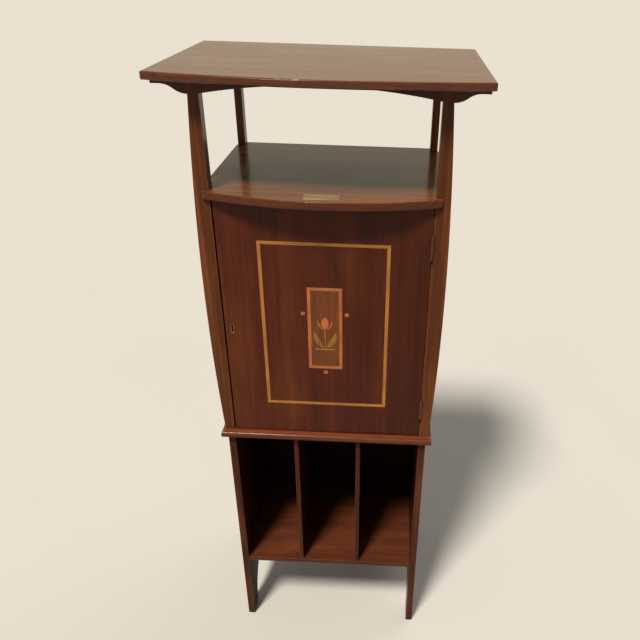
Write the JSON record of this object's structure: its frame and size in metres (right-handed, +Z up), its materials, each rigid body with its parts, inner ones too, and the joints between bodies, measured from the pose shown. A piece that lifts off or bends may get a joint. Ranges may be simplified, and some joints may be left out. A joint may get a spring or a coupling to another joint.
{
  "type": "music cabinet",
  "caption": "Upright inlaid music cabinet with a bow-fronted overhanging top, open display shelf, hinged cupboard door and an open slotted rack on legs.",
  "frame": {"origin": "on the floor, at the middle of the bounding box in plan", "axes": "+X to the right seen from the front, +Y from the front to the back, +Z up"},
  "size_m": [0.502, 0.36, 1.215],
  "materials": {
    "mahogany": "French polished mahogany",
    "door_veneer": "polished mahogany, upright grain",
    "back_board": "stained and sealed board",
    "shelf_board": "waxed board",
    "satinwood_banding": "polished satinwood",
    "orange_banding": "polished orange-stained satinwood",
    "field_veneer": "polished brown veneer",
    "stained_inlay": "polished stained sycamore",
    "brass": "aged and handled brass",
    "lock_steel": "bright drawn steel"
  },
  "bodies": {
    "carcass": {"back_post_left": "mahogany", "back_post_right": "mahogany", "back_top_bearer": "mahogany", "bottom_board": "mahogany", "cupboard_back": "back_board", "cupboard_side_left": "mahogany", "cupboard_side_right": "mahogany", "display_shelf": "mahogany", "divider_left": "mahogany", "divider_right": "mahogany", "door_stop_lower": "mahogany", "door_stop_upper": "mahogany", "front_corbel_left": "mahogany", "front_corbel_right": "mahogany", "front_post_left": "mahogany", "front_post_right": "mahogany", "front_top_rail": "mahogany", "hinge_lower_frame_leaf": "brass", "hinge_lower_pin": "lock_steel", "hinge_upper_frame_leaf": "brass", "hinge_upper_pin": "lock_steel", "lower_side_left": "mahogany", "lower_side_right": "mahogany", "music_shelf_1": "shelf_board", "music_shelf_2": "shelf_board", "music_shelf_3": "shelf_board", "plaque": "brass", "rack_back": "back_board", "strike_plate": "brass", "top_board": "mahogany", "top_side_rail_left": "mahogany", "top_side_rail_right": "mahogany", "waist_board": "mahogany"},
    "door": {"door_panel": "door_veneer", "escutcheon": "brass", "hinge_lower_door_leaf": "brass", "hinge_upper_door_leaf": "brass", "inlay_bar": "satinwood_banding", "inlay_border": "satinwood_banding", "inlay_bud": "orange_banding", "inlay_field": "field_veneer", "inlay_frame": "orange_banding", "inlay_leaf_left": "stained_inlay", "inlay_leaf_right": "stained_inlay", "inlay_petal_left": "orange_banding", "inlay_petal_right": "orange_banding", "inlay_square_left": "orange_banding", "inlay_square_lower": "orange_banding", "inlay_square_right": "orange_banding", "inlay_stem": "stained_inlay", "lock_case": "brass"},
    "bolt": {"lock_bolt": "lock_steel"}
  },
  "joints": [
    {"name": "door_hinge", "type": "hinge", "parent": "carcass", "child": "door", "pos_m": [0.17725, -0.1349, 0.79], "axis": [0, 0, 1], "range_deg": [0, 165]},
    {"name": "bolt_slide", "type": "slide", "parent": "door", "child": "bolt", "axis": [-1, 0, 0], "range_m": [0, 0.006]}
  ]
}
